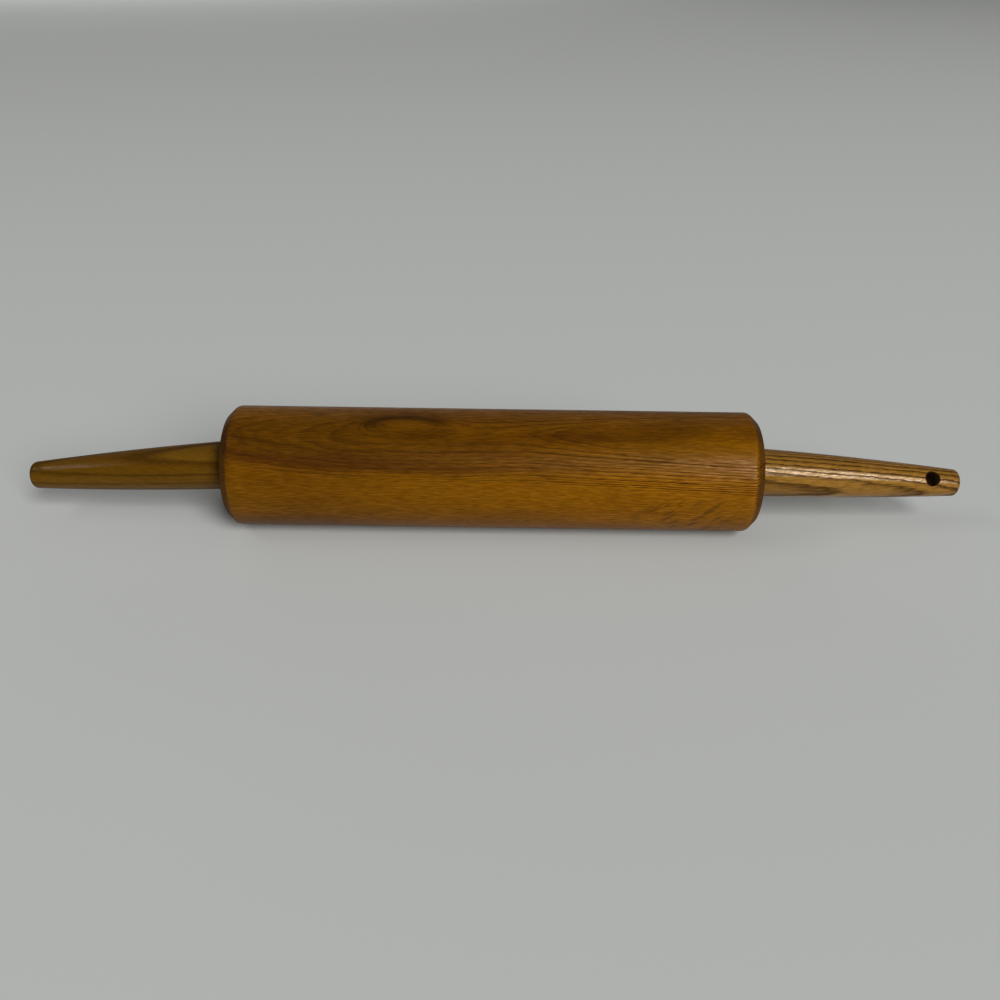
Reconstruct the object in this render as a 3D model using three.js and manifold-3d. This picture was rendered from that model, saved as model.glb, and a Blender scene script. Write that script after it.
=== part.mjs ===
// A turned wooden rolling pin: a barrel that spins on a steel axle, with a tapered handle fixed to
// each end of the axle. Millimetres, X along the pin, Z up. The origin is the middle of the flat
// on which the barrel rests.

import * as THREE from "three";
import { mergeVertices } from "three/addons/utils/BufferGeometryUtils.js";
import Module from "manifold-3d";

const wasm = await Module();
wasm.setup();

// Barrel: a turned oak cylinder with a broad chamfer round each end
const BARREL_LENGTH = 254;
const BARREL_DIAMETER = 58;
const BARREL_CHAMFER = 4.4;

// Axle: a plain steel rod, bent a little at each end of the barrel by years of pressing down
const AXLE_DIAMETER = 8;
const AXLE_REACH = 46; // length inside each handle
const AXLE_END_CHAMFER = 0.8;
const AXLE_RELIEF = 1; // room round the axle between the two bushings
const LEFT_DROOP = THREE.MathUtils.degToRad(4.3);
const RIGHT_DROOP = THREE.MathUtils.degToRad(2.5);

// Bushings: flanged sleeves pressed into the ends of the barrel, which run on the axle
const BUSHING_LENGTH = 24;
const BUSHING_WALL = 2;
const FLANGE_RIM = 3;
const FLANGE_THICKNESS = 2;

// Thrust washers and stop nuts: they keep the axle from sliding out of the barrel
const WASHER_RIM = 4;
const WASHER_THICKNESS = 1.2;
const NUT_WALL = 2.5; // from the hole to a flat
const NUT_THICKNESS = 4.8;
const NUT_SINK = 1; // depth of the nut's face below the end of the barrel

// Handles: long tapers with a slightly swelled side and a rounded tip
const LEFT_HANDLE_LENGTH = 98;
const RIGHT_HANDLE_LENGTH = 100;
const HANDLE_ROOT_DIAMETER = 23.6;
const HANDLE_TIP_DIAMETER = 12.7;
const HANDLE_SWELL = 0.65; // added radius half way along
const HANDLE_ROOT_CHAMFER = 0.6;
const HANDLE_TIP_ROUND = 2;
const HANDLE_TIP_CROWN = 0.8;

// Hang hole: drilled through the right handle near its tip, facing up and forwards
const HOLE_DIAMETER = 7.2;
const HOLE_FROM_TIP = 15;
const HOLE_RISE = THREE.MathUtils.degToRad(40);

// Inserts: threaded brass sleeves in the roots of the handles, screwed on to the axle
const INSERT_LENGTH = 22;
const INSERT_WALL = 1.6;

// Clearances
const RUNNING_GAP = 0.08; // round the axle, in the bushings
const SEAT_GAP = 0.05; // at pressed, screwed and glued seats
const END_PLAY = 0.3; // between each flange and its thrust washer
const ROOT_GAP = 0.3; // from the barrel's end to the nearest edge of a handle
const BORE_END_GAP = 1; // past the end of the axle, in a handle

// Facets
const SIDES = 48;
const TAPER_STEPS = 10;
const ROUND_STEPS = 4;
const CROWN_STEPS = 2;

// Radius of a hole whose flats clear a shaft of the given radius by the given gap.
function holeRadius(shaftRadius, gap) {
  return (shaftRadius + gap) / Math.cos(Math.PI / SIDES);
}

const halfLength = BARREL_LENGTH / 2;
const barrelRadius = BARREL_DIAMETER / 2;
const axisHeight = barrelRadius * Math.cos(Math.PI / SIDES);
const axleRadius = AXLE_DIAMETER / 2;
const runningRadius = holeRadius(axleRadius, RUNNING_GAP);
const threadRadius = holeRadius(axleRadius, SEAT_GAP);
const bushingRadius = runningRadius + BUSHING_WALL;
const flangeRadius = bushingRadius + FLANGE_RIM;
const washerRadius = threadRadius + WASHER_RIM;
const nutCornerRadius = (threadRadius + NUT_WALL) / Math.cos(Math.PI / 6);
const insertRadius = threadRadius + INSERT_WALL;
const rootRadius = HANDLE_ROOT_DIAMETER / 2;
const tipRadius = HANDLE_TIP_DIAMETER / 2;

// Places along the axle in an end recess, counted outwards from the barrel's end face
const nutFace = -NUT_SINK;
const washerFace = nutFace - NUT_THICKNESS - SEAT_GAP;
const flangeFace = washerFace - WASHER_THICKNESS - END_PLAY;
const recessFloor = flangeFace - FLANGE_THICKNESS - SEAT_GAP;
const pocketFloor = recessFloor - BUSHING_LENGTH - SEAT_GAP;

const oak = new THREE.MeshStandardMaterial({ color: 0xa86f2c, roughness: 0.4, metalness: 0 });
const brownOak = new THREE.MeshStandardMaterial({ color: 0x7c5423, roughness: 0.45, metalness: 0 });
const goldenOak = new THREE.MeshStandardMaterial({ color: 0xb98543, roughness: 0.3, metalness: 0 });
const steel = new THREE.MeshStandardMaterial({ color: 0x8d8f92, roughness: 0.35, metalness: 1 });
const brass = new THREE.MeshStandardMaterial({ color: 0xb59a54, roughness: 0.35, metalness: 1 });
const nylon = new THREE.MeshStandardMaterial({ color: 0xd9d3c2, roughness: 0.55, metalness: 0 });

// A turned solid: [along, radius] points carried round the X axis, with a flat at the bottom.
function turned(profile) {
  const points = profile.map(([along, radius]) => new THREE.Vector2(radius, along));
  const geometry = new THREE.LatheGeometry(points, SIDES, Math.PI / SIDES);
  return geometry.rotateZ(-Math.PI / 2);
}

// A turned ring: a profile that closes on itself clear of the axis.
function turnedRing(profile) {
  return turned([...profile, profile[0]]);
}

function namedMesh(name, geometry, material) {
  const mesh = new THREE.Mesh(geometry, material);
  mesh.name = name;
  return mesh;
}

function solidOf(geometry) {
  const bare = geometry.clone();
  bare.deleteAttribute("normal");
  bare.deleteAttribute("uv");
  const merged = mergeVertices(bare);
  const vertProperties = merged.attributes.position.array;
  const triVerts = new Uint32Array(merged.index.array);
  return new wasm.Manifold(new wasm.Mesh({ numProp: 3, vertProperties, triVerts }));
}

function geometryOf(solid) {
  const { vertProperties, triVerts } = solid.getMesh();
  const geometry = new THREE.BufferGeometry();
  geometry.setAttribute("position", new THREE.BufferAttribute(vertProperties, 3));
  geometry.setIndex(new THREE.BufferAttribute(triVerts, 1));
  geometry.computeVertexNormals();
  return geometry;
}

// The barrel is bored right through, with a pocket for a bushing and a recess for its flange,
// the washer and the nut at each end.
function barrelGeometry() {
  const recessRadius = holeRadius(Math.max(flangeRadius, washerRadius, nutCornerRadius), SEAT_GAP);
  const pocketRadius = holeRadius(bushingRadius, SEAT_GAP);
  const boreRadius = holeRadius(axleRadius, AXLE_RELIEF);
  const rightHalf = [
    [halfLength - BARREL_CHAMFER, barrelRadius],
    [halfLength, barrelRadius - BARREL_CHAMFER],
    [halfLength, recessRadius],
    [halfLength + recessFloor, recessRadius],
    [halfLength + recessFloor, pocketRadius],
    [halfLength + pocketFloor, pocketRadius],
    [halfLength + pocketFloor, boreRadius],
  ];
  const leftHalf = rightHalf.map(([along, radius]) => [-along, radius]).reverse();
  return turnedRing([...rightHalf, ...leftHalf]);
}

function bushingGeometry() {
  const sleeveEnd = recessFloor + SEAT_GAP;
  return turnedRing([
    [flangeFace, runningRadius],
    [sleeveEnd - BUSHING_LENGTH, runningRadius],
    [sleeveEnd - BUSHING_LENGTH, bushingRadius],
    [sleeveEnd, bushingRadius],
    [sleeveEnd, flangeRadius],
    [flangeFace, flangeRadius],
  ]);
}

function washerGeometry() {
  return turnedRing([
    [washerFace, threadRadius],
    [washerFace - WASHER_THICKNESS, threadRadius],
    [washerFace - WASHER_THICKNESS, washerRadius],
    [washerFace, washerRadius],
  ]);
}

// A hexagon with a round hole, drawn across the axle and given its thickness along it.
function nutGeometry() {
  const corners = Array.from({ length: 6 }, (_, i) => {
    const angle = (i * Math.PI) / 3;
    return new THREE.Vector2(nutCornerRadius * Math.cos(angle), nutCornerRadius * Math.sin(angle));
  });
  const outline = new THREE.Shape(corners);
  outline.holes.push(new THREE.Path().absarc(0, 0, threadRadius, 0, 2 * Math.PI, true));
  const options = { depth: NUT_THICKNESS, bevelEnabled: false, curveSegments: SIDES };
  const geometry = new THREE.ExtrudeGeometry(outline, options);
  return geometry.rotateY(Math.PI / 2).translate(nutFace - NUT_THICKNESS, 0, 0);
}

// The distance from the bend in the axle to a handle's root face: the lean brings the lower edge
// of the root nearest to the barrel.
function rootOffset(droop) {
  return (ROOT_GAP + rootRadius * Math.sin(droop)) / Math.cos(droop);
}

// The rod is turned straight, then each end is bent down about the centre of the barrel's end
// face. A station is [along, radius, lean]: the ring at a bend leans half as far, as a mitre does.
function axleGeometry() {
  const leftEnd = -halfLength - rootOffset(LEFT_DROOP) - AXLE_REACH;
  const rightEnd = halfLength + rootOffset(RIGHT_DROOP) + AXLE_REACH;
  const endRadius = axleRadius - AXLE_END_CHAMFER;
  const stations = [
    [leftEnd, 0, -LEFT_DROOP],
    [leftEnd, endRadius, -LEFT_DROOP],
    [leftEnd + AXLE_END_CHAMFER, axleRadius, -LEFT_DROOP],
    [-halfLength, axleRadius, -LEFT_DROOP / 2],
    [halfLength, axleRadius, RIGHT_DROOP / 2],
    [rightEnd - AXLE_END_CHAMFER, axleRadius, RIGHT_DROOP],
    [rightEnd, endRadius, RIGHT_DROOP],
    [rightEnd, 0, RIGHT_DROOP],
  ];
  const geometry = turned(stations);
  const places = geometry.attributes.position;
  const across = new THREE.Vector3(0, 1, 0);
  const point = new THREE.Vector3();
  const bend = new THREE.Vector3();
  for (let i = 0; i < places.count; i++) {
    const [along, , lean] = stations[i % stations.length];
    bend.set(Math.sign(along) * halfLength, 0, 0);
    point.fromBufferAttribute(places, i).sub(bend).applyAxisAngle(across, lean).add(bend);
    places.setXYZ(i, point.x, point.y, point.z);
  }
  geometry.computeVertexNormals();
  return geometry;
}

// Radius of the side of a handle of the given length, at a distance from its root.
function handleRadius(along, length) {
  const share = along / length;
  const taper = THREE.MathUtils.lerp(rootRadius, tipRadius, share);
  return taper + 4 * HANDLE_SWELL * share * (1 - share);
}

// A handle along +X from its root at 0, bored for the insert and the axle.
function handleGeometry(length) {
  const boreEnd = AXLE_REACH + BORE_END_GAP;
  const boreRadius = holeRadius(axleRadius, 2 * SEAT_GAP);
  const pocketEnd = INSERT_LENGTH + 2 * SEAT_GAP;
  const pocketRadius = holeRadius(insertRadius, SEAT_GAP);
  const roundCentre = length - HANDLE_TIP_CROWN - HANDLE_TIP_ROUND;
  const crownRadius = handleRadius(roundCentre, length) - HANDLE_TIP_ROUND;
  const bore = [
    [boreEnd, 0],
    [boreEnd, boreRadius],
    [pocketEnd, boreRadius],
    [pocketEnd, pocketRadius],
    [0, pocketRadius],
  ];
  const side = [[0, rootRadius - HANDLE_ROOT_CHAMFER]];
  for (let i = 0; i < TAPER_STEPS; i++) {
    const along = THREE.MathUtils.lerp(HANDLE_ROOT_CHAMFER, roundCentre, i / TAPER_STEPS);
    side.push([along, handleRadius(along, length)]);
  }
  const tip = [];
  for (let i = 0; i <= ROUND_STEPS; i++) {
    const angle = ((1 - i / ROUND_STEPS) * Math.PI) / 2;
    const along = roundCentre + HANDLE_TIP_ROUND * Math.cos(angle);
    tip.push([along, crownRadius + HANDLE_TIP_ROUND * Math.sin(angle)]);
  }
  for (let i = 1; i <= CROWN_STEPS; i++) {
    const share = 1 - i / CROWN_STEPS;
    tip.push([length - HANDLE_TIP_CROWN * share ** 2, crownRadius * share]);
  }
  return turned([...bore, ...side, ...tip]);
}

function drilledHandleGeometry(length) {
  const drillLength = 2 * HANDLE_ROOT_DIAMETER;
  const drill = new THREE.CylinderGeometry(HOLE_DIAMETER / 2, HOLE_DIAMETER / 2, drillLength, SIDES);
  drill.rotateX(-HOLE_RISE).translate(length - HOLE_FROM_TIP, 0, 0);
  return geometryOf(solidOf(handleGeometry(length)).subtract(solidOf(drill)));
}

function insertGeometry() {
  return turnedRing([
    [INSERT_LENGTH + SEAT_GAP, threadRadius],
    [SEAT_GAP, threadRadius],
    [SEAT_GAP, insertRadius],
    [INSERT_LENGTH + SEAT_GAP, insertRadius],
  ]);
}

// The two ends are alike but for the lean, the handle's length and wood, and the hang hole. In an end's own group +X
// points outwards from the barrel's end face, and the handle's group leans down from there.
const ends = [
  {
    side: "left",
    turn: Math.PI,
    droop: LEFT_DROOP,
    wood: brownOak,
    handle: handleGeometry(LEFT_HANDLE_LENGTH),
  },
  {
    side: "right",
    turn: 0,
    droop: RIGHT_DROOP,
    wood: goldenOak,
    handle: drilledHandleGeometry(RIGHT_HANDLE_LENGTH),
  },
];

const rollingPin = new THREE.Group();
const axleLine = new THREE.Group();
axleLine.position.z = axisHeight;
rollingPin.add(axleLine);
axleLine.add(namedMesh("barrel", barrelGeometry(), oak));
axleLine.add(namedMesh("axle_rod", axleGeometry(), steel));

for (const { side, turn, droop, wood, handle } of ends) {
  const end = new THREE.Group();
  end.rotation.z = turn;
  end.position.x = halfLength * Math.cos(turn);
  end.add(namedMesh(`${side}_bushing`, bushingGeometry(), nylon));
  end.add(namedMesh(`${side}_thrust_washer`, washerGeometry(), steel));
  end.add(namedMesh(`${side}_stop_nut`, nutGeometry(), steel));

  const grip = new THREE.Group();
  grip.rotation.y = droop;
  grip.position.set(rootOffset(droop) * Math.cos(droop), 0, -rootOffset(droop) * Math.sin(droop));
  grip.add(namedMesh(`${side}_handle`, handle, wood));
  grip.add(namedMesh(`${side}_handle_insert`, insertGeometry(), brass));
  end.add(grip);
  axleLine.add(end);
}

export default rollingPin;
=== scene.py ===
import math

import bmesh
import bpy
import numpy as np
from mathutils import Matrix, Vector


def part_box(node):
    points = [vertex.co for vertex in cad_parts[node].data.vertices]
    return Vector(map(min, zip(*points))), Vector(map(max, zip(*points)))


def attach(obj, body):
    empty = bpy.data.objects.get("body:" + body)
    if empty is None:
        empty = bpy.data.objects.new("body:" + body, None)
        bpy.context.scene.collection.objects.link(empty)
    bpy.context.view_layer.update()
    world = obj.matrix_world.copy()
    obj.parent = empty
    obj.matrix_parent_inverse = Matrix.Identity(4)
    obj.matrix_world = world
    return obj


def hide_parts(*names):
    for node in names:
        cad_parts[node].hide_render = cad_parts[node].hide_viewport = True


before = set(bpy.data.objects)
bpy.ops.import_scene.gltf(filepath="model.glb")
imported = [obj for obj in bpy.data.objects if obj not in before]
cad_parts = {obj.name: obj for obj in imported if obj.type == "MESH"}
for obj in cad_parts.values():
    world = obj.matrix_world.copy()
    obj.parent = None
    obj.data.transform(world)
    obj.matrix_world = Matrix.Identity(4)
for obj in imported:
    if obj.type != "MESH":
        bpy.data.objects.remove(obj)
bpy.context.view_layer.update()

# Barrel: one piece of flat-sawn oak, turned to a cylinder, with a chamfer cut round each end and the
# ends counterbored for the bushings, washers and nuts. It is sanded and varnished to a warm amber.
# The growth rings lie almost level, so the top shows an eye and arches, and the front fine lines.
MM = 0.001
barrel_low, barrel_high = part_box("barrel")
BARREL_HALF = (barrel_high.x - barrel_low.x) / 2
BARREL_RADIUS = (barrel_high.z - barrel_low.z) / 2
AXIS_HEIGHT = (barrel_high.z + barrel_low.z) / 2
BARREL_CHAMFER = 4.4 * MM
BARREL_EDGE, END_EDGE = 1.6 * MM, 0.8 * MM
FLANGE_SEAT_RADIUS = 9.2 * MM
FLANGE_SEAT_DEPTH = 9.4 * MM
BUSHING_SEAT_RADIUS = 6.2 * MM
BUSHING_SEAT_DEPTH = 33.5 * MM
AXLE_ROOM_RADIUS = 5 * MM
SEAT_EDGE = 0.5 * MM
GRID_STEP = 1.6 * MM
BARREL_AROUND = 224
MERGE_DISTANCE = 1e-7
SHARP_ANGLE = math.radians(40)
SIDE_FACING, END_FACING = 0.2, 0.8


def eased(corners, setbacks, steps=6):
    """A profile whose corners are rounded: each corner is replaced by a parabola that touches both of its
    sides at the corner's own setback. A corner with no setback stays sharp, and the two ends are kept."""
    corners = np.asarray(corners, float)
    setbacks = np.asarray(setbacks, float)[1:-1, None]
    before = corners[:-2] - corners[1:-1]
    after = corners[2:] - corners[1:-1]
    start = corners[1:-1] + setbacks * before / np.linalg.norm(before, axis=1, keepdims=True)
    end = corners[1:-1] + setbacks * after / np.linalg.norm(after, axis=1, keepdims=True)
    t = np.linspace(0, 1, steps)[:, None, None]
    arcs = (1 - t) ** 2 * start + 2 * t * (1 - t) * corners[1:-1] + t**2 * end
    inner = arcs.transpose(1, 0, 2).reshape(-1, 2)
    return spaced(np.vstack([corners[:1], inner, corners[-1:]]), GRID_STEP)


def spaced(profile, step):
    """The same profile with points added along it, so that no stretch is longer than the step."""
    length = np.concatenate([[0], np.cumsum(np.linalg.norm(np.diff(profile, axis=0), axis=1))])
    kept = np.concatenate([[True], np.diff(length) > MERGE_DISTANCE])
    length, profile = length[kept], profile[kept]
    stops = np.unique(np.concatenate([length, np.arange(0, length[-1], step)]))
    stops = stops[np.concatenate([[True], np.diff(stops) > 0.02 * step])]
    return np.column_stack([np.interp(stops, length, profile[:, i]) for i in (0, 1)])


def turned_points(profile, around, origin, along, first):
    """A profile of (distance along, radius) carried round an axis: point = origin + distance x along
    + radius x (cos angle x first + sin angle x second), where second is square to the other two."""
    along, first = np.array(along, float), np.array(first, float)
    second = np.cross(along, first)
    angle = np.linspace(0, 2 * np.pi, around, endpoint=False)
    spokes = np.cos(angle)[:, None] * first + np.sin(angle)[:, None] * second
    return np.asarray(origin) + profile[:, None, :1] * along + profile[:, None, 1:] * spokes[None]


def grid_quads(rows, columns, closed):
    """The four corner numbers of each cell in a grid that wraps round its columns, and also round its
    rows where the profile is a closed loop."""
    row, column = np.meshgrid(np.arange(rows if closed else rows - 1), np.arange(columns), indexing="ij")
    next_row, next_column = (row + 1) % rows, (column + 1) % columns
    cells = [row * columns + column, row * columns + next_column]
    cells += [next_row * columns + next_column, next_row * columns + column]
    return np.stack(cells, axis=-1)


def closed_mesh(name, points, quads):
    """An object whose poles and seams are merged, with faces outwards and its place in its mesh."""
    used, faces = np.unique(quads, return_inverse=True)
    mesh = bpy.data.meshes.new(name)
    mesh.from_pydata(points.reshape(-1, 3)[used].tolist(), [], faces.reshape(-1, 4).tolist())
    work = bmesh.new()
    work.from_mesh(mesh)
    bmesh.ops.remove_doubles(work, verts=work.verts, dist=MERGE_DISTANCE)
    bmesh.ops.recalc_face_normals(work, faces=work.faces)
    work.to_mesh(mesh)
    work.free()
    mesh.shade_smooth()
    mesh.set_sharp_from_angle(angle=SHARP_ANGLE)
    piece = bpy.data.objects.new(name, mesh)
    bpy.context.scene.collection.objects.link(piece)
    return piece


def vertex_places(piece):
    """The place of each vertex, in metres, one row each."""
    places = np.empty(3 * len(piece.data.vertices), np.float32)
    piece.data.vertices.foreach_get("co", places)
    return places.reshape(-1, 3).astype(float)


def keep_on_vertices(piece, **kept):
    """Keeps each named value on the vertices, where a material reads it. A single number serves them all."""
    for name, values in kept.items():
        layer = piece.data.attributes.new(name, "FLOAT", "POINT")
        values = np.broadcast_to(values, len(piece.data.vertices))
        layer.data.foreach_set("value", values.astype(np.float32))


def end_grain(piece, along):
    """How far each vertex faces along the grain: 0 on the sides, 1 on an end."""
    normals = np.empty(3 * len(piece.data.vertices), np.float32)
    piece.data.vertices.foreach_get("normal", normals)
    facing = np.abs(normals.reshape(-1, 3) @ np.array(along))
    return np.clip((facing - SIDE_FACING) / (END_FACING - SIDE_FACING), 0, 1)


def linear(hex_colour):
    """An sRGB hex colour as the linear RGBA that shaders take."""
    srgb = np.array([int(hex_colour[i : i + 2], 16) / 255 for i in (1, 3, 5)])
    rgb = np.where(srgb <= 0.04045, srgb / 12.92, ((srgb + 0.055) / 1.055) ** 2.4)
    return (*rgb.tolist(), 1.0)


def add_node(tree, kind, inputs, **settings):
    """Adds a node, sets its properties, and sets or links its inputs. A node given as an input is linked
    by the first of its outputs that is in use."""
    made = tree.nodes.new("ShaderNode" + kind)
    for key, value in settings.items():
        setattr(made, key, value)
    for key, value in inputs.items():
        if isinstance(value, bpy.types.Node):
            value = next(socket for socket in value.outputs if socket.enabled)
        if isinstance(value, bpy.types.NodeSocket):
            tree.links.new(value, made.inputs[key])
        else:
            made.inputs[key].default_value = value
    return made


def varnished_oak(name, light, warm, dark, pore, sheen, fade, wander, fibres, gloss, film, lean=0.0):
    """Oak under clear varnish. Each year's ring starts with a dark line of open pores and fades to smooth
    late wood. Fine pore streaks run with the grain, rays show as flecks on the radial faces, and the end
    grain drinks more varnish and is darker. Bare wood that is never wiped goes dull, and it is painted
    nearly black, which also stands for the shade deep in the hole and the bores. The vertex values named
    years, figure, tone, shade, polish, rays, end_grain and grime say where; shade darkens or lightens the
    wood, partly for the wood itself and partly as painted light and shade. Fibres under the varnish throw
    back warm light: gloss is the roughness and level of that sheen. Film is the weight and roughness of the
    clear coat over it, which is thick on raised fibres, thin over the pores, and rubbed brighter by the
    polish. Fade is the share of a ring over which its line fades, wander how many years the lines stray,
    fibres how far the streaks are lighter or darker, and lean the grain's own slope."""
    material = bpy.data.materials.new(name)
    material.use_nodes = True
    tree = material.node_tree
    tree.nodes.clear()
    place = add_node(tree, "TexCoord", {})
    turned = {"Vector": place.outputs["Object"], "Rotation": (0, lean, 0), "Scale": (1000, 1000, 1000)}
    in_mm = add_node(tree, "Mapping", turned)
    kept = {
        key: add_node(tree, "Attribute", {}, attribute_name=key).outputs["Fac"]
        for key in ("years", "figure", "tone", "shade", "polish", "rays", "end_grain", "grime")
    }

    # Streaks along the grain: each one's length and width in millimetres, the part of its noise that is
    # used, and what that part is carried to. Pores are drawn 0.4 mm wide, which just shows in the render.
    streaks = {}
    for use, length, width, noise_range, carried_to in (
        ("slow_wander", 60, 6, (0.3, 0.7), (-wander, wander)),
        ("quick_wander", 12, 0.7, (0.3, 0.7), (-wander, wander)),
        ("drift", 70, 12, (0.3, 0.7), (-0.25, 0.25)),
        ("fibre", 6, 0.45, (0.3, 0.7), (1 - fibres, 1 + fibres)),
        ("pores", 5, 0.4, (0.5, 0.72), (0, 1)),
    ):
        stretched = add_node(tree, "Mapping", {"Vector": in_mm, "Scale": (1 / length, 1 / width, 1 / width)})
        noise = add_node(tree, "TexNoise", {"Vector": stretched, "Scale": 1.0, "Detail": 3.0})
        limits = {"Value": noise.outputs[0], "From Min": noise_range[0], "From Max": noise_range[1]}
        limits.update({"To Min": carried_to[0], "To Max": carried_to[1]})
        streaks[use] = add_node(tree, "MapRange", limits, interpolation_type="SMOOTHSTEP")

    # Rings, which wander a little along the grain, and the dark early wood at the start of each
    years = add_node(tree, "Math", {0: kept["years"], 1: streaks["slow_wander"]})
    years = add_node(tree, "Math", {0: years, 1: streaks["quick_wander"]})
    within = add_node(tree, "Math", {0: years}, operation="FRACT")
    start = add_node(tree, "MapRange", {"Value": within, "From Max": 0.2}, interpolation_type="SMOOTHSTEP")
    limits = {"Value": within, "From Min": 0.05, "From Max": fade, "To Min": 1.0, "To Max": 0.0}
    early = add_node(tree, "MapRange", limits, interpolation_type="SMOOTHSTEP")
    early = add_node(tree, "Math", {0: start, 1: early}, operation="MULTIPLY")
    line = add_node(tree, "Math", {0: early, 1: kept["figure"]}, operation="MULTIPLY", use_clamp=True)

    # Colour: a broad drift from pale to warm wood, then the rings, the fibres and the open pores
    tone = add_node(tree, "Math", {0: streaks["drift"], 1: kept["tone"]}, use_clamp=True)
    colour = add_node(tree, "Mix", {0: tone, 6: linear(light), 7: linear(warm)}, data_type="RGBA")
    colour = add_node(tree, "Mix", {0: line, 6: colour, 7: linear(dark)}, data_type="RGBA")
    fibre = add_node(tree, "Math", {0: streaks["fibre"], 1: kept["shade"]}, operation="MULTIPLY")
    shaded = {0: 1.0, 6: colour, 7: fibre}
    colour = add_node(tree, "Mix", shaded, data_type="RGBA", blend_type="MULTIPLY")
    share = add_node(tree, "MapRange", {"Value": early, "To Min": 0.22, "To Max": 0.5})
    open_pores = add_node(tree, "Math", {0: streaks["pores"], 1: share}, operation="MULTIPLY")
    colour = add_node(tree, "Mix", {0: open_pores, 6: colour, 7: linear(pore)}, data_type="RGBA")

    # Rays: ribbons across the rings that are cut at a slant, so that they show about 5 mm long and 1 mm wide
    slanted = add_node(tree, "Mapping", {"Vector": in_mm, "Rotation": (0, math.radians(36), 0)})
    slanted = add_node(tree, "Mapping", {"Vector": slanted, "Scale": (1 / 9, 1 / 6, 1 / 2)})
    rays = add_node(tree, "TexNoise", {"Vector": slanted, "Scale": 1.0, "Detail": 1.0})
    limits = {"Value": rays.outputs[0], "From Min": 0.55, "From Max": 0.63, "To Max": 0.5}
    rays = add_node(tree, "MapRange", limits, interpolation_type="SMOOTHSTEP")
    rays = add_node(tree, "Math", {0: rays, 1: kept["rays"]}, operation="MULTIPLY")
    colour = add_node(tree, "Mix", {0: rays, 6: colour, 7: linear(dark)}, data_type="RGBA")
    soaked = add_node(tree, "Math", {0: kept["end_grain"], 1: 0.5}, operation="MULTIPLY")
    colour = add_node(tree, "Mix", {0: soaked, 6: colour, 7: linear(pore)}, data_type="RGBA")

    # Pores and end grain are dull, and the coat breaks where it sinks into a ring's pores
    rough = add_node(tree, "Math", {0: open_pores, 1: 0.45, 2: gloss[0]}, operation="MULTIPLY_ADD")
    rough = add_node(tree, "Math", {0: line, 1: 0.35, 2: rough}, operation="MULTIPLY_ADD")
    rough = add_node(tree, "Math", {0: kept["end_grain"], 1: 0.4, 2: rough}, operation="MULTIPLY_ADD")
    limits = {"Value": streaks["fibre"], "From Min": 1.0, "From Max": 1 + fibres}
    limits.update({"To Min": 0.2 * film[0], "To Max": film[0]})
    raised = add_node(tree, "MapRange", limits)
    limits = {"Value": line, "From Min": 0.1, "From Max": 0.8, "To Min": 1.0, "To Max": 0.1}
    sunk = add_node(tree, "MapRange", limits)
    coat = add_node(tree, "Math", {0: raised, 1: sunk}, operation="MULTIPLY")
    coat = add_node(tree, "Math", {0: coat, 1: kept["polish"]}, operation="MULTIPLY", use_clamp=True)
    depth = add_node(tree, "Math", {0: open_pores, 1: line})
    bump = add_node(tree, "Bump", {"Height": depth, "Strength": 0.15, "Distance": 0.0003}, invert=True)
    varnish = {
        "Base Color": colour,
        "Roughness": rough,
        "IOR": 1.5,
        "Specular IOR Level": gloss[1],
        "Specular Tint": linear(sheen),
        "Coat Weight": coat,
        "Coat Roughness": film[1],
        "Coat IOR": 1.5,
        "Normal": bump,
    }
    varnished = add_node(tree, "BsdfPrincipled", varnish)
    # Bare wood where the grime value is set: dull and painted nearly black, as dirt and as painted shade in
    # the hole and the bores
    bare = add_node(tree, "BsdfDiffuse", {"Color": linear("#553d24")})
    skin = add_node(tree, "MixShader", {0: kept["grime"], 1: varnished, 2: bare})
    add_node(tree, "OutputMaterial", {"Surface": skin})
    return material


barrel_profile = [
    (0, BARREL_RADIUS),
    (BARREL_HALF - BARREL_CHAMFER, BARREL_RADIUS),
    (BARREL_HALF, BARREL_RADIUS - BARREL_CHAMFER),
    (BARREL_HALF, FLANGE_SEAT_RADIUS),
    (BARREL_HALF - FLANGE_SEAT_DEPTH, FLANGE_SEAT_RADIUS),
    (BARREL_HALF - FLANGE_SEAT_DEPTH, BUSHING_SEAT_RADIUS),
    (BARREL_HALF - BUSHING_SEAT_DEPTH, BUSHING_SEAT_RADIUS),
    (BARREL_HALF - BUSHING_SEAT_DEPTH, AXLE_ROOM_RADIUS),
    (0, AXLE_ROOM_RADIUS),
]
barrel_right = eased(barrel_profile, [0, BARREL_EDGE, END_EDGE, SEAT_EDGE, 0, 0, 0, 0, 0])
barrel_left = barrel_right[-2:0:-1] * (-1, 1)
barrel_points = turned_points(
    np.vstack([barrel_right, barrel_left]), BARREL_AROUND, (0, 0, AXIS_HEIGHT), (1, 0, 0), (0, 0, 1)
)
barrel = closed_mesh("barrel_wood", barrel_points, grid_quads(*barrel_points.shape[:2], closed=True))

# The heart of the tree lies below the barrel, so the rings arch over it and the youngest ones touch its
# upper front. They climb from the left end to an eye, where a swelling breaks the surface, and then
# rise again slowly to the right. Heights are in millimetres above or below the eye's crown.
FACE_RISE, RIGHT_TURN, RIGHT_TURN_EASE = math.radians(58), math.radians(3.5), 8
HEART_DEPTH, FACE_DEPTH = 85, 0.75
CLIMB_END, CLIMB_SLOPE, CLIMB_EASE, CLIMB_FADE = -72, 0.05, 5, 15
LEVEL_START, LEVEL_SLOPE, LEVEL_EASE = 10, 0.02, 6
SWELLING_HEIGHT = 2.6
CHAMFER_SLOPE = 0.33

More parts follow.
